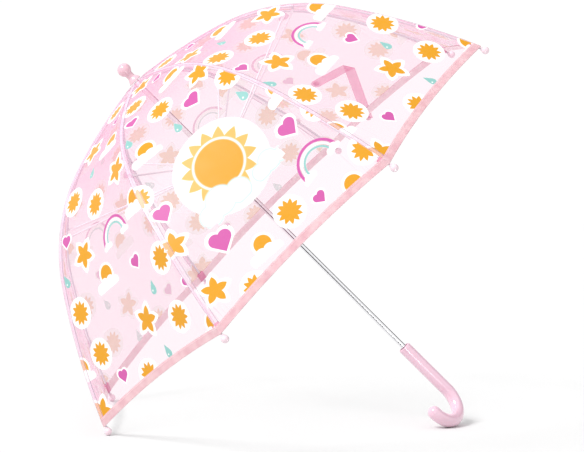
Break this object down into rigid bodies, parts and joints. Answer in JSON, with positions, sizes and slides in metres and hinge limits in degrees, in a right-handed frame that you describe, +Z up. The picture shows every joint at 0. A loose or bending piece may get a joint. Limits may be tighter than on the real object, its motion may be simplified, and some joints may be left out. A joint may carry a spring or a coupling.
{
  "type": "umbrella",
  "caption": "Child's folding dome umbrella with a clear printed canopy, ball tips, sliding runner and crook handle, open and lying on its side.",
  "frame": {"origin": "centre of the box round the open umbrella, on the floor that it lies on", "axes": "+Z up from the floor, +X along the floor from the crown towards the handle, +Y across; the shaft lies in the XZ plane's direction and slopes down towards +X"},
  "size_m": [0.5304, 0.6736, 0.5417],
  "materials": {
    "printed_film": "clear pink-tinted film, printed outside",
    "hem_tape": "folded pink binding tape",
    "strap_film": "pink film",
    "pink_plastic": "moulded, glossy pink",
    "rib_rod": "white glass-fibre rod",
    "stretcher_rod": "white glass-fibre rod",
    "white_plastic": "moulded white",
    "plated_tube": "bright plated steel tube",
    "spring_steel": "plain spring steel"
  },
  "bodies": {
    "root": {"shaft": "plated_tube", "ferrule": "pink_plastic", "crown_notch": "white_plastic", "crown_wire": "spring_steel", "handle": "pink_plastic"},
    "top_catch": {"top_catch": "spring_steel"},
    "bottom_catch": {"bottom_catch": "spring_steel"},
    "rib_1": {"rib_1": "rib_rod", "canopy_panel_1": "printed_film"},
    "rib_end_1": {"rib_end_1": "rib_rod", "rib_tip_1": "pink_plastic", "hem_tape_1": "hem_tape", "tie_strap": "strap_film", "strap_stud": "pink_plastic"},
    "stretcher_1": {"stretcher_1": "stretcher_rod"},
    "rib_2": {"rib_2": "rib_rod", "canopy_panel_2": "printed_film"},
    "rib_end_2": {"rib_end_2": "rib_rod", "rib_tip_2": "pink_plastic", "hem_tape_2": "hem_tape"},
    "stretcher_2": {"stretcher_2": "stretcher_rod"},
    "rib_3": {"rib_3": "rib_rod", "canopy_panel_3": "printed_film"},
    "rib_end_3": {"rib_end_3": "rib_rod", "rib_tip_3": "pink_plastic", "hem_tape_3": "hem_tape"},
    "stretcher_3": {"stretcher_3": "stretcher_rod"},
    "rib_4": {"rib_4": "rib_rod", "canopy_panel_4": "printed_film"},
    "rib_end_4": {"rib_end_4": "rib_rod", "rib_tip_4": "pink_plastic", "hem_tape_4": "hem_tape"},
    "stretcher_4": {"stretcher_4": "stretcher_rod"},
    "rib_5": {"rib_5": "rib_rod", "canopy_panel_5": "printed_film"},
    "rib_end_5": {"rib_end_5": "rib_rod", "rib_tip_5": "pink_plastic", "hem_tape_5": "hem_tape"},
    "stretcher_5": {"stretcher_5": "stretcher_rod"},
    "rib_6": {"rib_6": "rib_rod", "canopy_panel_6": "printed_film"},
    "rib_end_6": {"rib_end_6": "rib_rod", "rib_tip_6": "pink_plastic", "hem_tape_6": "hem_tape"},
    "stretcher_6": {"stretcher_6": "stretcher_rod"},
    "rib_7": {"rib_7": "rib_rod", "canopy_panel_7": "printed_film"},
    "rib_end_7": {"rib_end_7": "rib_rod", "rib_tip_7": "pink_plastic", "hem_tape_7": "hem_tape"},
    "stretcher_7": {"stretcher_7": "stretcher_rod"},
    "rib_8": {"rib_8": "rib_rod", "canopy_panel_8": "printed_film"},
    "rib_end_8": {"rib_end_8": "rib_rod", "rib_tip_8": "pink_plastic", "hem_tape_8": "hem_tape"},
    "stretcher_8": {"stretcher_8": "stretcher_rod"},
    "runner": {"runner": "white_plastic", "runner_wire": "spring_steel"}
  },
  "joints": [
    {"name": "canopy_fold", "type": "hinge", "parent": "root", "child": "rib_1", "pos_m": [-0.168, 0.00245, 0.4406], "axis": [-0.2627, 0.9239, -0.2783], "range_deg": [0, 67.3], "deforming": ["canopy_panel_1", "canopy_panel_2", "canopy_panel_3", "canopy_panel_4", "canopy_panel_5", "canopy_panel_6", "canopy_panel_7", "canopy_panel_8", "hem_tape_1", "hem_tape_2", "hem_tape_3", "hem_tape_4", "hem_tape_5", "hem_tape_6", "hem_tape_7", "hem_tape_8", "tie_strap", "strap_stud", "top_catch", "bottom_catch"]},
    {"name": "rib_fold_2", "type": "hinge", "parent": "root", "child": "rib_2", "pos_m": [-0.17038, 0.00591, 0.43808], "axis": [-0.6341, 0.3827, -0.6719], "range_deg": [0, 67.3]},
    {"name": "rib_fold_3", "type": "hinge", "parent": "root", "child": "rib_3", "pos_m": [-0.17374, 0.00591, 0.43452], "axis": [-0.6341, -0.3827, -0.6719], "range_deg": [0, 67.3]},
    {"name": "rib_fold_4", "type": "hinge", "parent": "root", "child": "rib_4", "pos_m": [-0.17612, 0.00245, 0.432], "axis": [-0.2627, -0.9239, -0.2783], "range_deg": [0, 67.3]},
    {"name": "rib_fold_5", "type": "hinge", "parent": "root", "child": "rib_5", "pos_m": [-0.17612, -0.00245, 0.432], "axis": [0.2627, -0.9239, 0.2783], "range_deg": [0, 67.3]},
    {"name": "rib_fold_6", "type": "hinge", "parent": "root", "child": "rib_6", "pos_m": [-0.17374, -0.00591, 0.43452], "axis": [0.6341, -0.3827, 0.6719], "range_deg": [0, 67.3]},
    {"name": "rib_fold_7", "type": "hinge", "parent": "root", "child": "rib_7", "pos_m": [-0.17038, -0.00591, 0.43808], "axis": [0.6341, 0.3827, 0.6719], "range_deg": [0, 67.3]},
    {"name": "rib_fold_8", "type": "hinge", "parent": "root", "child": "rib_8", "pos_m": [-0.168, -0.00245, 0.4406], "axis": [0.2627, 0.9239, 0.2783], "range_deg": [0, 67.3]},
    {"name": "rib_flex_1", "type": "hinge", "parent": "rib_1", "child": "rib_end_1", "pos_m": [0.02266, 0.08595, 0.53783], "axis": [0.2627, -0.9239, 0.2783], "range_deg": [0, 33]},
    {"name": "rib_flex_2", "type": "hinge", "parent": "rib_2", "child": "rib_end_2", "pos_m": [-0.06076, 0.20749, 0.44944], "axis": [0.6341, -0.3827, 0.6719], "range_deg": [0, 33]},
    {"name": "rib_flex_3", "type": "hinge", "parent": "rib_3", "child": "rib_end_3", "pos_m": [-0.17874, 0.20749, 0.32443], "axis": [0.6341, 0.3827, 0.6719], "range_deg": [0, 33]},
    {"name": "rib_flex_4", "type": "hinge", "parent": "rib_4", "child": "rib_end_4", "pos_m": [-0.26217, 0.08595, 0.23603], "axis": [0.2627, 0.9239, 0.2783], "range_deg": [0, 33]},
    {"name": "rib_flex_5", "type": "hinge", "parent": "rib_5", "child": "rib_end_5", "pos_m": [-0.26217, -0.08595, 0.23603], "axis": [-0.2627, 0.9239, -0.2783], "range_deg": [0, 33]},
    {"name": "rib_flex_6", "type": "hinge", "parent": "rib_6", "child": "rib_end_6", "pos_m": [-0.17874, -0.20749, 0.32443], "axis": [-0.6341, 0.3827, -0.6719], "range_deg": [0, 33]},
    {"name": "rib_flex_7", "type": "hinge", "parent": "rib_7", "child": "rib_end_7", "pos_m": [-0.06076, -0.20749, 0.44944], "axis": [-0.6341, -0.3827, -0.6719], "range_deg": [0, 33]},
    {"name": "rib_flex_8", "type": "hinge", "parent": "rib_8", "child": "rib_end_8", "pos_m": [0.02266, -0.08595, 0.53783], "axis": [-0.2627, -0.9239, -0.2783], "range_deg": [0, 33]},
    {"name": "stretcher_turn_1", "type": "hinge", "parent": "rib_1", "child": "stretcher_1", "pos_m": [0.02064, 0.08379, 0.5326], "axis": [0.2627, -0.9239, 0.2783], "range_deg": [0, 134.59]},
    {"name": "stretcher_turn_2", "type": "hinge", "parent": "rib_2", "child": "stretcher_2", "pos_m": [-0.0607, 0.20229, 0.44642], "axis": [0.6341, -0.3827, 0.6719], "range_deg": [0, 134.59]},
    {"name": "stretcher_turn_3", "type": "hinge", "parent": "rib_3", "child": "stretcher_3", "pos_m": [-0.17572, 0.20229, 0.32454], "axis": [0.6341, 0.3827, 0.6719], "range_deg": [0, 134.59]},
    {"name": "stretcher_turn_4", "type": "hinge", "parent": "rib_4", "child": "stretcher_4", "pos_m": [-0.25706, 0.08379, 0.23836], "axis": [0.2627, 0.9239, 0.2783], "range_deg": [0, 134.59]},
    {"name": "stretcher_turn_5", "type": "hinge", "parent": "rib_5", "child": "stretcher_5", "pos_m": [-0.25706, -0.08379, 0.23836], "axis": [-0.2627, 0.9239, -0.2783], "range_deg": [0, 134.59]},
    {"name": "stretcher_turn_6", "type": "hinge", "parent": "rib_6", "child": "stretcher_6", "pos_m": [-0.17572, -0.20229, 0.32454], "axis": [-0.6341, 0.3827, -0.6719], "range_deg": [0, 134.59]},
    {"name": "stretcher_turn_7", "type": "hinge", "parent": "rib_7", "child": "stretcher_7", "pos_m": [-0.0607, -0.20229, 0.44642], "axis": [-0.6341, -0.3827, -0.6719], "range_deg": [0, 134.59]},
    {"name": "stretcher_turn_8", "type": "hinge", "parent": "rib_8", "child": "stretcher_8", "pos_m": [0.02064, -0.08379, 0.5326], "axis": [-0.2627, -0.9239, -0.2783], "range_deg": [0, 134.59]},
    {"name": "runner_travel", "type": "hinge", "parent": "stretcher_1", "child": "runner", "pos_m": [-0.06031, 0.00245, 0.33896], "axis": [-0.2627, 0.9239, -0.2783], "range_deg": [0, 67.3]},
    {"name": "top_catch_press", "type": "hinge", "parent": "root", "child": "top_catch", "pos_m": [-0.02124, -0.002, 0.29396], "axis": [0.6864, 0, 0.7273], "range_deg": [0, 4.99], "stiffness_Nm_per_rad": 1.5},
    {"name": "bottom_catch_press", "type": "hinge", "parent": "root", "child": "bottom_catch", "pos_m": [0.14832, -0.002, 0.13393], "axis": [-0.6864, 0, -0.7273], "range_deg": [0, 4.99], "stiffness_Nm_per_rad": 1.5}
  ],
  "couplings": [
    {"joint": "rib_fold_2", "follows": "canopy_fold", "ratio": 1},
    {"joint": "rib_fold_3", "follows": "canopy_fold", "ratio": 1},
    {"joint": "rib_fold_4", "follows": "canopy_fold", "ratio": 1},
    {"joint": "rib_fold_5", "follows": "canopy_fold", "ratio": 1},
    {"joint": "rib_fold_6", "follows": "canopy_fold", "ratio": 1},
    {"joint": "rib_fold_7", "follows": "canopy_fold", "ratio": 1},
    {"joint": "rib_fold_8", "follows": "canopy_fold", "ratio": 1},
    {"joint": "rib_flex_1", "follows": "canopy_fold", "ratio": 0.49029},
    {"joint": "rib_flex_2", "follows": "canopy_fold", "ratio": 0.49029},
    {"joint": "rib_flex_3", "follows": "canopy_fold", "ratio": 0.49029},
    {"joint": "rib_flex_4", "follows": "canopy_fold", "ratio": 0.49029},
    {"joint": "rib_flex_5", "follows": "canopy_fold", "ratio": 0.49029},
    {"joint": "rib_flex_6", "follows": "canopy_fold", "ratio": 0.49029},
    {"joint": "rib_flex_7", "follows": "canopy_fold", "ratio": 0.49029},
    {"joint": "rib_flex_8", "follows": "canopy_fold", "ratio": 0.49029},
    {"joint": "stretcher_turn_1", "follows": "canopy_fold", "ratio": 2},
    {"joint": "stretcher_turn_2", "follows": "canopy_fold", "ratio": 2},
    {"joint": "stretcher_turn_3", "follows": "canopy_fold", "ratio": 2},
    {"joint": "stretcher_turn_4", "follows": "canopy_fold", "ratio": 2},
    {"joint": "stretcher_turn_5", "follows": "canopy_fold", "ratio": 2},
    {"joint": "stretcher_turn_6", "follows": "canopy_fold", "ratio": 2},
    {"joint": "stretcher_turn_7", "follows": "canopy_fold", "ratio": 2},
    {"joint": "stretcher_turn_8", "follows": "canopy_fold", "ratio": 2},
    {"joint": "runner_travel", "follows": "canopy_fold", "ratio": 1}
  ]
}
